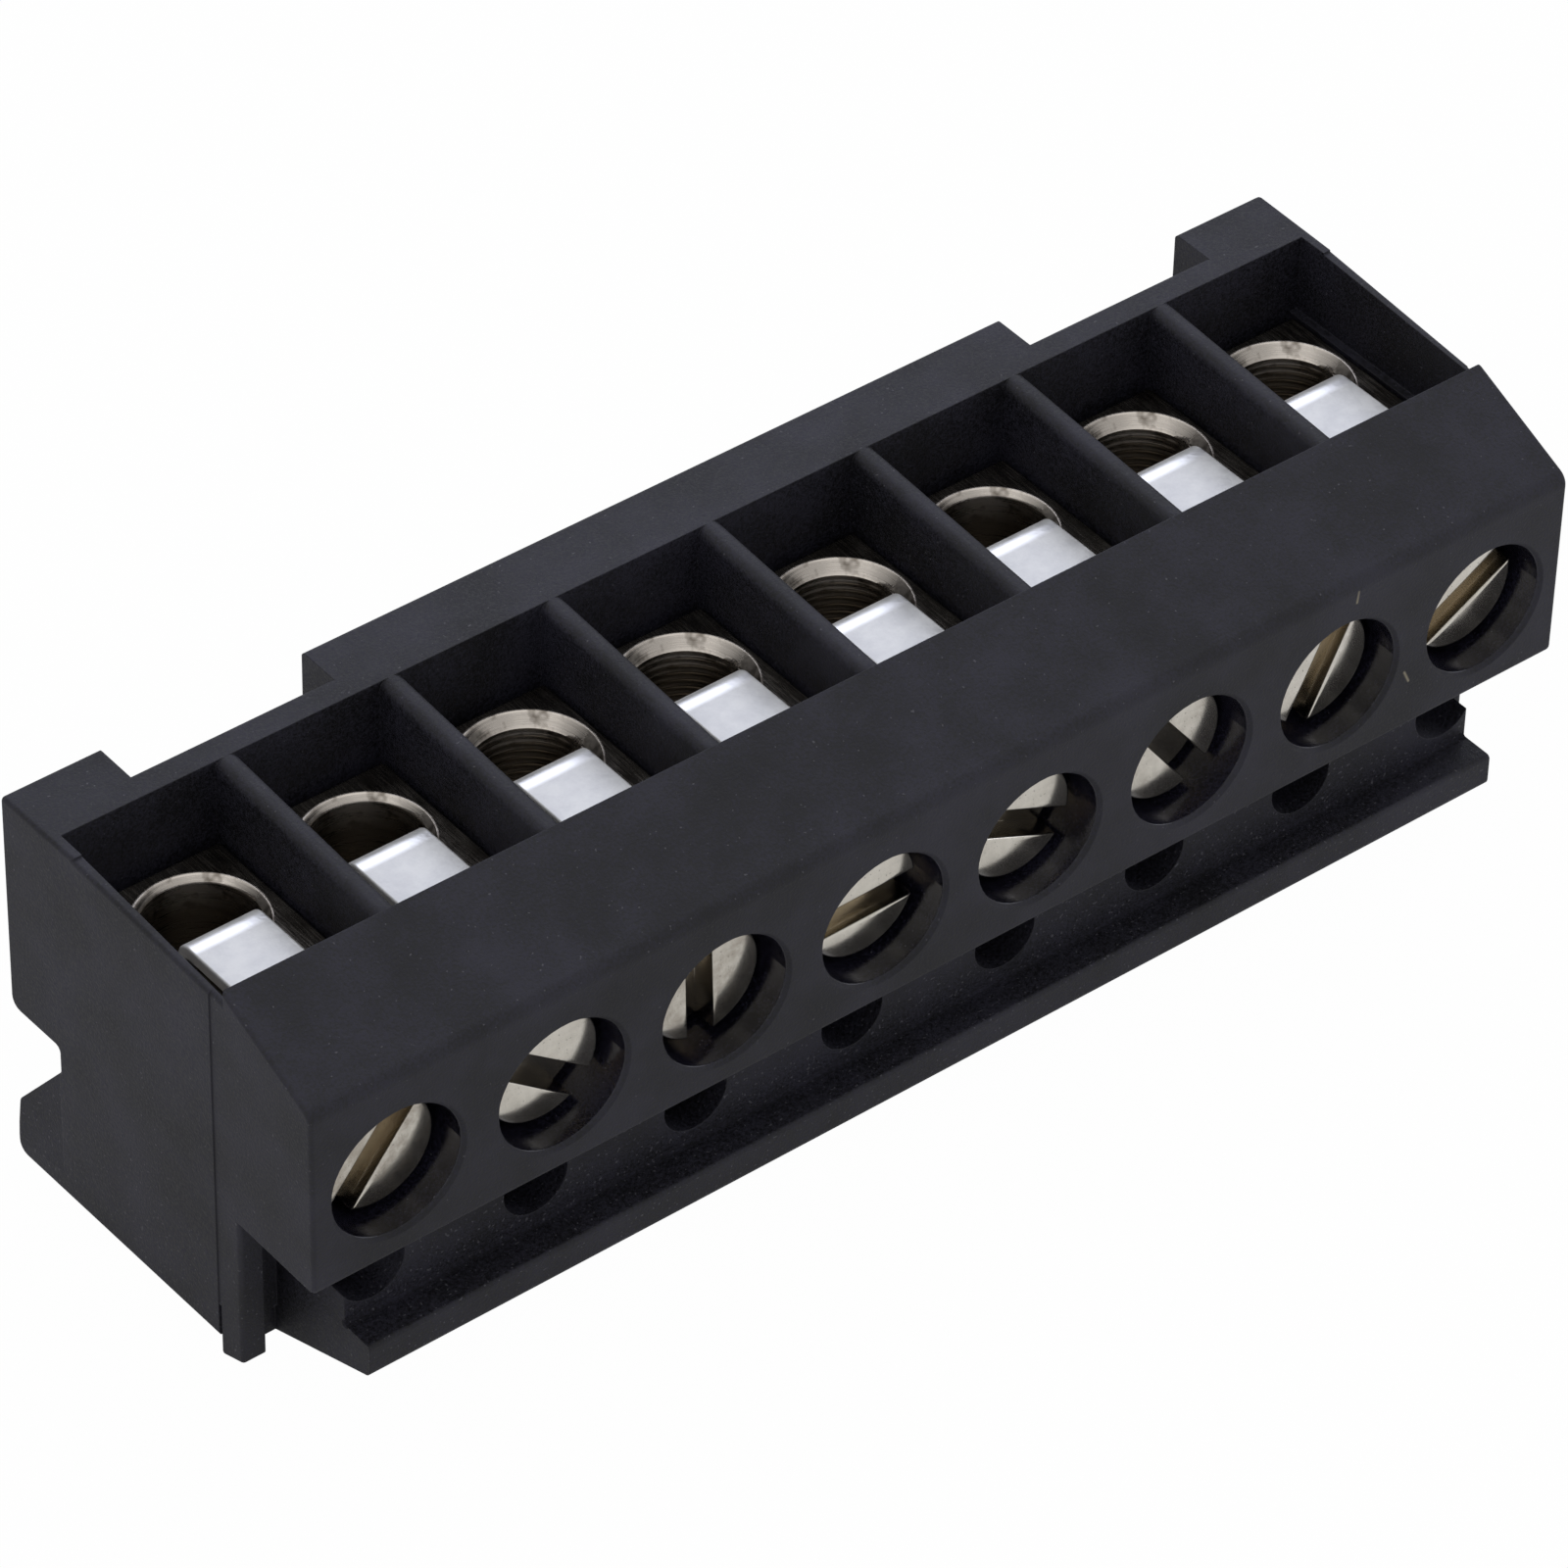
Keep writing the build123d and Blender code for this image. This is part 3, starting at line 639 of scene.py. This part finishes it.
class SurfaceMaker:
    """Turns numpy grids of points into closed meshes."""

    MAP = "surface_map"

    def __init__(self, name: str) -> None:
        """Start an empty piece of that name."""
        self.name = name
        self.points: list[Array] = []
        self.quads: list[Array] = []
        self.maps: list[Array] = []
        self.count = 0

    def grid(self, points: Array, close_u: bool, close_v: bool, chart: Array | None = None) -> None:
        """Add a grid: point (i, j) joins (i+1, j), (i+1, j+1) and (i, j+1), wrapping where it is closed.

        Args:
            points: array of shape (rows, columns, 3) in millimetres.
            close_u: the last row joins the first.
            close_v: the last column joins the first.
            chart: optional array (rows, columns, 2) of map values.
        """
        rows, columns = points.shape[:2]
        number = np.arange(rows * columns).reshape(rows, columns) + self.count
        rolled_u = np.roll(number, -1, axis=0)
        rolled_v = np.roll(number, -1, axis=1)
        rolled_both = np.roll(rolled_u, -1, axis=1)
        faces = np.stack([number, rolled_u, rolled_both, rolled_v], axis=-1)
        faces = faces[:rows if close_u else rows - 1, :columns if close_v else columns - 1]
        self.points.append(points.reshape(-1, 3))
        self.quads.append(faces.reshape(-1, 4))
        flat_chart = np.zeros((rows * columns, 2)) if chart is None else chart.reshape(-1, 2)
        self.maps.append(flat_chart)
        self.count += rows * columns

    def build(self, material: bpy.types.Material, smooth_to: float = 35.0) -> bpy.types.Object:
        """Make the object, weld its seams and poles, and turn its faces outwards.

        Args:
            material: finish of the whole piece.
            smooth_to: edges that turn by more degrees than this stay crisp.

        Returns:
            The finished object, at the origin with its place in its mesh.
        """
        mesh = bpy.data.meshes.new(self.name)
        points = np.concatenate(self.points) * MM
        quads = np.concatenate(self.quads)
        mesh.from_pydata(points, [], quads.tolist())
        loops = np.empty(len(mesh.loops), dtype=np.int32)
        mesh.loops.foreach_get("vertex_index", loops)
        chart = mesh.uv_layers.new(name=self.MAP)
        chart.data.foreach_set("uv", np.concatenate(self.maps)[loops].astype(np.float32).ravel())
        shell = bmesh.new()
        shell.from_mesh(mesh)
        bmesh.ops.remove_doubles(shell, verts=shell.verts, dist=WELD * 10)
        bmesh.ops.dissolve_degenerate(shell, edges=shell.edges, dist=WELD)
        bmesh.ops.recalc_face_normals(shell, faces=shell.faces)
        shell.to_mesh(mesh)
        shell.free()
        mesh.shade_smooth()
        mesh.set_sharp_from_angle(angle=math.radians(smooth_to))
        mesh.materials.append(material)
        piece = bpy.data.objects.new(self.name, mesh)
        bpy.context.scene.collection.objects.link(piece)
        return piece


def node_box(node: str) -> tuple[Array, Array]:
    """Give the lowest and highest corner of a CAD node in millimetres."""
    low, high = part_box(node)
    return np.array(low) / MM, np.array(high) / MM


def dress(node: str, material: bpy.types.Material) -> None:
    """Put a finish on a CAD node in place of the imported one."""
    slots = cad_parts[node].data.materials
    slots.clear()
    slots.append(material)


class BoreKind(Enum):
    """How the wire bore of a clamp body was cut."""

    PLAIN = "plain bore with a narrow bevel"
    RINGED = "bore with tool rings and a wide countersink"


@dataclass
class Housing:
    """The moulded housing: the CAD solid in its moulded finish."""

    finish: MouldedPolyamide = MouldedPolyamide()

    def build(self) -> None:
        """Dress the CAD solid."""
        dress("housing", self.finish.material())
        LOG.info("housing dressed")


@dataclass
class ClampBody:
    """One clamp body: the CAD block in plated brass, with the cut surface of its wire bore as a piece."""

    pole: int
    kind: BoreKind
    block_material: bpy.types.Material
    bore_material: bpy.types.Material
    bore_rear_gap: float = 2.1
    bore_radius: float = 1.6
    wide_bevel: float = 0.3
    narrow_bevel: float = 0.17
    stand_proud: float = 0.012
    slot_shaded: float = 0.05
    short_reach: float = 0.8
    long_reach: float = 3.8
    ring_pitch: float = 0.24
    ring_height: float = 0.03
    lifted: float = 0.004
    rear_turn: float = 0.3
    rear_shift: float = 0.05
    bevel_share: float = 0.12

    def build(self) -> None:
        """Dress the block and build the cut surface of the bore."""
        node = f"clamp_body_{self.pole}"
        dress(node, self.block_material)
        low, high = node_box(node)
        middle = ((low[0] + high[0]) / 2, high[1] - self.bore_rear_gap, high[2])
        piece = self.cut_surface(middle)
        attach(piece, "plug")
        LOG.info("clamp body %d, %s", self.pole, self.kind.value)

    def cut_surface(self, middle: tuple) -> bpy.types.Object:
        """Make the countersink and bore wall as one closed skin.

        Formula: at the angle a round the bore, the wall goes down to a depth that is long at the rear and
        short at the front, blended by a smooth step of the sine of a, so it stays clear of the screw hole.
        Its radius falls along the bevel's cone and then stays at the bore's, plus a ring wave of the depth.
        The skin returns up a little way inside the metal.

        Args:
            middle: middle of the bore's mouth in millimetres.

        Returns:
            The finished piece.
        """
        wide = self.kind is BoreKind.RINGED
        bevel = self.wide_bevel if wide else self.narrow_bevel
        angle = np.linspace(0, 2 * np.pi, 128, endpoint=False)[:, None]
        rear = np.clip((np.sin(angle) + self.rear_shift) / self.rear_turn, 0, 1)
        reach = self.short_reach + (self.long_reach - self.short_reach) * rear * rear * (3 - 2 * rear)
        share = np.concatenate([np.linspace(0, self.bevel_share, 14),
                                np.linspace(self.bevel_share + 0.01, 1, 90)])[None, :]
        depth = share * reach
        inner = self.bore_radius + np.maximum(bevel - depth, 0)
        wave = np.sin(2 * np.pi * depth / self.ring_pitch) if wide else 0 * depth
        radius = inner - self.stand_proud - self.ring_height * np.clip(wave, 0, 1) * (depth > bevel)
        back = inner + self.slot_shaded
        radii = np.concatenate([radius, back[:, ::-1]], axis=1)
        depths = np.concatenate([depth, depth[:, ::-1]], axis=1)
        x = middle[0] + radii * np.cos(angle)
        y = middle[1] + radii * np.sin(angle)
        z = middle[2] + self.lifted - depths + 0 * x
        around = np.broadcast_to(angle * self.bore_radius, x.shape)
        maker = SurfaceMaker(f"bore_cut_{self.pole}")
        maker.grid(np.stack([x, y, z], axis=-1), True, True, np.stack([around, depths], axis=-1))
        return maker.build(self.bore_material, 50.0)


@dataclass
class ClampScrew:
    """One slotted cheese-head screw with a cut thread."""

    pole: int
    slot_angle: float
    slot_offset: float
    wear: float
    head_radius: float = 1.72
    head_thickness: float = 1.3
    rim_round: float = 0.09
    slot_width: float = 0.82
    slot_depth: float = 0.75
    lip_round: float = 0.045
    thread_radius: float = 1.48
    thread_pitch: float = 0.5
    thread_depth: float = 0.27
    thread_start: float = 0.35
    thread_fade: float = 0.3
    tip_bevel: float = 0.35
    under_head: float = 0.1

    def build(self) -> None:
        """Build the screw in place of its CAD node."""
        node = f"clamp_screw_{self.pole}"
        low, high = node_box(node)
        centre = ((low[0] + high[0]) / 2, low[1], (low[2] + high[2]) / 2)
        finish = TurnedScrew(f"steel_turned_nickel_plated_{self.pole}", centre, self.wear)
        maker = SurfaceMaker(f"slotted_screw_{self.pole}")
        self.head(maker, centre)
        self.shank(maker, centre, high[1] - low[1])
        piece = maker.build(finish.material(), 40.0)
        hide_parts(node)
        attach(piece, f"screw_{self.pole}")
        LOG.info("clamp screw %d", self.pole)

    def slot_section(self) -> tuple[Array, Array]:
        """Give the places across the slot and how deep the face lies there.

        Formula: on each side of the slot's middle, the places run in from the rim as the sine of an even
        angle, round the lip on a quarter circle and then cross the slot's floor.

        Returns:
            Two columns: places from rim to rim, and depths.
        """
        half, ease = self.slot_width / 2, self.lip_round
        bend = np.linspace(0, np.pi / 2, 5)
        sides = []
        for side in (-1, 1):
            middle = side * self.slot_offset
            near = math.asin((middle + half + ease) / self.head_radius)
            outer = self.head_radius * np.sin(np.linspace(np.pi / 2, near, 26))
            lip = middle + half + ease * (1 - np.sin(bend))
            floor = middle + np.linspace(half, 0, 5)
            sides.append((side * np.concatenate([outer[:-1], lip, floor]),
                          np.concatenate([0 * outer[:-1], ease * (1 - np.cos(bend)), 0 * floor + self.slot_depth])))
        (low_q, low_d), (high_q, high_d) = sides
        places = np.concatenate([low_q, high_q[::-1][1:]])[:, None]
        return places, np.concatenate([low_d, high_d[::-1][1:]])[:, None]

    def head(self, maker: SurfaceMaker, centre: tuple) -> None:
        """Add the slotted head.

        Formula: q runs across the slot and t along it; a column at q reaches p = t times the root of
        (head radius squared less q squared). Its depth is the larger of the slot's section at q and the
        rim's rounding at the distance from the axis. Each column then goes down the side and closes below.

        Args:
            maker: mesh that takes the head.
            centre: middle of the head's face in millimetres.
        """
        q, section = self.slot_section()
        reach = np.sqrt(np.clip(self.head_radius ** 2 - q * q, 0, None))
        t = np.sin(np.linspace(-np.pi / 2, np.pi / 2, 49))[None, :]
        p = t * reach
        distance = np.sqrt(p * p + q * q)
        over = np.clip(distance - (self.head_radius - self.rim_round), 0, self.rim_round)
        rim = self.rim_round - np.sqrt(np.clip(self.rim_round ** 2 - over * over, 0, None))
        top = np.maximum(section, rim)
        ones = np.ones_like(q)
        sides = np.linspace(1, 0, 3)[None, :]
        left_top, right_top = top[:, :1], top[:, -1:]
        left = left_top + (self.head_thickness - left_top) * sides[:, :-1]
        right = right_top + (self.head_thickness - right_top) * sides[:, ::-1][:, 1:]
        under = np.linspace(0.8, -0.8, 5)[None, :]
        p_all = np.concatenate([-reach * np.ones((1, 2)), p, reach * np.ones((1, 2)), reach * under], axis=1)
        d_all = np.concatenate([left, top, right, ones * np.full((1, 5), self.head_thickness)], axis=1)
        q_all = q * np.ones((1, p_all.shape[1]))
        turn = math.radians(self.slot_angle)
        x = centre[0] + p_all * math.cos(turn) - q_all * math.sin(turn)
        z = centre[2] + p_all * math.sin(turn) + q_all * math.cos(turn)
        maker.grid(np.stack([x, centre[1] + d_all, z], axis=-1), False, True)

    def shank(self, maker: SurfaceMaker, centre: tuple, length: float) -> None:
        """Add the threaded shank.

        Formula: at the turn a and the depth d, the radius is the thread's outer radius less its depth times
        a triangle wave of d over the pitch less a over a full turn. The thread fades in below the head, the
        tip has a bevel, and the skin closes to the axis at both ends.

        Args:
            maker: mesh that takes the shank.
            centre: middle of the head's face in millimetres.
            length: length of the whole screw in millimetres.
        """
        start = self.head_thickness - self.under_head
        angle = np.linspace(0, 2 * np.pi, 40, endpoint=False)[:, None]
        depth = np.linspace(start, length, 96)[None, :]
        phase = np.mod(depth / self.thread_pitch - angle / (2 * np.pi), 1)
        wave = np.abs(2 * phase - 1)
        fade = np.clip((depth - start - self.thread_start) / self.thread_fade, 0, 1)
        radius = self.thread_radius - self.thread_depth * wave * fade
        tip = np.clip((length - depth) / self.tip_bevel, 0, 1)
        radius = np.minimum(radius, self.thread_radius - self.tip_bevel * (1 - tip))
        ends = np.zeros_like(angle)
        radius = np.concatenate([ends, radius, ends], axis=1)
        depth = np.concatenate([depth[:, :1], depth, depth[:, -1:]], axis=1) + 0 * radius
        x = centre[0] + radius * np.cos(angle)
        z = centre[2] + radius * np.sin(angle)
        maker.grid(np.stack([x, centre[1] + depth, z], axis=-1), True, False)


@dataclass
class WireGuard:
    """One bent tinned strip between the screw and the wire."""

    pole: int
    material: bpy.types.Material
    thickness: float = 0.4
    bend: float = 0.5
    edge_round: float = 0.07
    leg_thinned: float = 0.08

    def build(self) -> None:
        """Build the strip in place of its CAD node."""
        node = f"wire_guard_{self.pole}"
        low, high = node_box(node)
        maker = SurfaceMaker(f"tinned_strip_{self.pole}")
        self.strip(maker, low, high)
        piece = maker.build(self.material, 50.0)
        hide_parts(node)
        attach(piece, f"guard_{self.pole}")
        LOG.info("wire guard %d", self.pole)

    def sides(self, low: Array, high: Array, inset: Array) -> tuple[Array, Array]:
        """Give the outer and inner side line of the strip, each drawn in by the inset.

        Formula: both lines run flat, turn a quarter circle about the same centre and run down. The outer
        circle has the bend's radius less the inset, the inner one the bend less thickness plus inset, and is
        stretched rearwards, because the leg is ironed thinner where it has to clear the bore's front.

        Args:
            low: lowest corner of the strip.
            high: highest corner of the strip.
            inset: column of inset values.

        Returns:
            Two arrays (insets, points, 2) of depth and height.
        """
        turn = np.linspace(0, np.pi / 2, 13)[None, :]
        centre_y, centre_z = high[1] - self.bend, high[2] - self.bend
        flat = np.linspace(0, 1, 9)[None, :]
        lines = []
        for radius, thinned in ((self.bend - inset, 0.0),
                                (self.bend - self.thickness + inset, self.leg_thinned)):
            start = low[1] + inset
            flat_y = start + (centre_y - start) * flat
            flat_z = centre_z + radius + 0 * flat
            turn_y = centre_y + (radius + thinned) * np.sin(turn)
            turn_z = centre_z + radius * np.cos(turn)
            end = low[2] + inset
            leg_y = centre_y + radius + thinned + 0 * flat
            leg_z = centre_z + (end - centre_z) * flat
            y = np.concatenate([flat_y[:, :-1], turn_y, leg_y[:, 1:]], axis=1)
            z = np.concatenate([flat_z[:, :-1], turn_z, leg_z[:, 1:]], axis=1)
            lines.append(np.stack([y, z], axis=-1))
        return lines[0], lines[1]

    def strip(self, maker: SurfaceMaker, low: Array, high: Array) -> None:
        """Add the strip: the closed side outline carried across the width, drawn in round both edges.

        Args:
            maker: mesh that takes the strip.
            low: lowest corner of the strip.
            high: highest corner of the strip.
        """
        ease = self.edge_round
        bend = np.linspace(0, np.pi / 2, 6)
        inset = ease - ease * np.sin(bend)
        shift = ease - ease * np.cos(bend)
        x = np.concatenate([low[0] + shift, high[0] - shift[::-1]])
        insets = np.concatenate([inset, inset[::-1]])[:, None]
        outer, inner = self.sides(low, high, insets)
        loop = np.concatenate([outer, inner[:, ::-1]], axis=1)
        across = np.broadcast_to(x[:, None, None], loop.shape[:2] + (1,))
        maker.grid(np.concatenate([across, loop], axis=-1), False, True)
        for row in (0, -1):
            cap = np.stack([outer[row], inner[row]])
            edge = np.full(cap.shape[:2] + (1,), x[row])
            maker.grid(np.concatenate([edge, cap], axis=-1), False, False)


@dataclass
class Studio:
    """Photo table, soft lamps, white surroundings and the camera at the photograph's angle."""

    azimuth: float = -39.379
    elevation: float = 40.878
    roll: float = 1.493
    distance_mm: float = 215.687
    target_mm: tuple = (-1.900, -1.408, 8.9)
    focal_px: float = 8617.07
    frame_px: float = 1600.0
    sensor_mm: float = 36.0
    table_mm: float = 1600.0
    fill_level: float = 0.6
    horizon_level: float = 0.6
    zenith_level: float = 0.5
    clip_m: tuple = (0.01, 10.0)

    def build(self) -> None:
        """Set up everything round the object."""
        self.colours()
        self.table()
        self.surroundings()
        self.lamp("softbox_above", (-60, -40, 420), (0, 0, 0), 420, 0.25)
        self.lamp("softbox_left", (-380, -120, 220), (0, 0, 6), 260, 0.14)
        self.lamp("softbox_rear_right", (290, 330, 370), (0, 0, 6), 520, 1.06, "#E2E8FF")
        self.lamp("softbox_right_front", (430, -190, 90), (0, 0, 6), 200, 0.2, "#EEF1FF")
        self.camera()
        LOG.info("studio set")

    def colours(self) -> None:
        """Use the plain display transform."""
        bpy.context.scene.view_settings.view_transform = "Standard"

    def table(self) -> None:
        """Make the flat table top under the object."""
        half = self.table_mm / 2
        side = np.linspace(-half, half, 3)
        x, y = np.meshgrid(side, side, indexing="ij")
        maker = SurfaceMaker("table_top")
        maker.grid(np.stack([x, y, 0 * x], axis=-1), False, False)
        piece = maker.build(PaleTable().material())
        if piece.data.polygons[0].normal.z < 0:
            piece.data.flip_normals()

    def surroundings(self) -> None:
        """Light the object evenly, with white for the camera and a soft pale sky for shiny metal."""
        world = bpy.data.worlds.new("white_tent")
        world.use_nodes = True
        tree = world.node_tree
        tree.nodes.clear()
        path = add_node(tree, "LightPath")
        heading = add_node(tree, "TexCoord")
        split = add_node(tree, "SeparateXYZ", {"Vector": heading.outputs["Generated"]})
        height = add_node(tree, "MapRange", {"Value": split.outputs["Z"], "From Min": 0.0, "From Max": 0.8,
                                             "To Min": self.horizon_level, "To Max": self.zenith_level})
        shown = add_node(tree, "Mix", {0: mirror_rays(tree, path), 2: self.fill_level,
                                       3: height.outputs["Result"]}, data_type="FLOAT")
        level = add_node(tree, "Mix", {0: path.outputs["Is Camera Ray"], 2: shown.outputs[0], 3: 1.0},
                         data_type="FLOAT")
        sky = add_node(tree, "Background", {"Color": (1, 1, 1, 1), "Strength": level.outputs[0]})
        add_node(tree, "OutputWorld", {"Surface": sky.outputs["Background"]})
        bpy.context.scene.world = world

    def lamp(self, name: str, place_mm: tuple, aim_mm: tuple, size_mm: float, level: float,
             colour: str = "#FFFFFF") -> None:
        """Hang one square soft lamp.

        Args:
            name: name of the lamp.
            place_mm: its middle in millimetres.
            aim_mm: point that it faces in millimetres.
            size_mm: side of the square in millimetres.
            level: power in watts.
            colour: tint of its light.
        """
        data = bpy.data.lights.new(name, "AREA")
        data.shape = "SQUARE"
        data.size = size_mm * MM
        data.energy = level
        data.color = linear(colour)[:3]
        lamp = bpy.data.objects.new(name, data)
        place, aim = Vector(place_mm) * MM, Vector(aim_mm) * MM
        lamp.matrix_world = Matrix.Translation(place) @ (aim - place).to_track_quat("-Z", "Y").to_matrix().to_4x4()
        bpy.context.scene.collection.objects.link(lamp)

    def camera(self) -> None:
        """Place the camera: azimuth, elevation and roll about the target, at the fitted distance."""
        a, e, r = (math.radians(v) for v in (self.azimuth, self.elevation, self.roll))
        back = Vector((math.sin(a) * math.cos(e), -math.cos(a) * math.cos(e), math.sin(e)))
        level_right = Vector((math.cos(a), math.sin(a), 0))
        level_up = back.cross(level_right)
        right = level_right * math.cos(r) + level_up * math.sin(r)
        up = level_up * math.cos(r) - level_right * math.sin(r)
        data = bpy.data.cameras.new("camera")
        data.sensor_width = self.sensor_mm
        data.lens = self.focal_px / self.frame_px * self.sensor_mm
        data.clip_start, data.clip_end = self.clip_m
        camera = bpy.data.objects.new("camera", data)
        turned = Matrix((right, up, back)).transposed().to_4x4()
        place = (Vector(self.target_mm) + back * self.distance_mm) * MM
        camera.matrix_world = Matrix.Translation(place) @ turned
        bpy.context.scene.collection.objects.link(camera)
        bpy.context.scene.camera = camera


BORES = (BoreKind.PLAIN, BoreKind.PLAIN, BoreKind.RINGED, BoreKind.RINGED, BoreKind.RINGED, BoreKind.PLAIN,
         BoreKind.RINGED, BoreKind.RINGED)
SLOT_ANGLES = (52, -38, 92, 1, -24, -53, 64, 29)
SLOT_OFFSETS = (0.08, -0.18, 0.15, -0.2, -0.05, 0, -0.15, -0.12)
SCREW_WEAR = (0.9, 0.35, 0.75, 0.3, 0.35, 0.5, 0.4, 0.45)


def main() -> None:
    """Build the studio and every sub-assembly in order."""
    logging.basicConfig(level=logging.INFO, format="%(message)s")
    Studio().build()
    Housing().build()
    block, bore, tin = PlatedBlock().material(), TurnedBore().material(), BrightTin().material()
    contact = BrightTin(name="brass_contact_tinned", light="#CFCBC2", cloud="#B8B3A8").material()
    for pole in range(1, POLES + 1):
        ClampBody(pole, BORES[pole - 1], block, bore).build()
        ClampScrew(pole, SLOT_ANGLES[pole - 1], SLOT_OFFSETS[pole - 1], SCREW_WEAR[pole - 1]).build()
        WireGuard(pole, tin).build()
        dress(f"pin_contact_{pole}", contact)
    LOG.info("%d poles built", POLES)


if __name__ == "__main__":
    main()
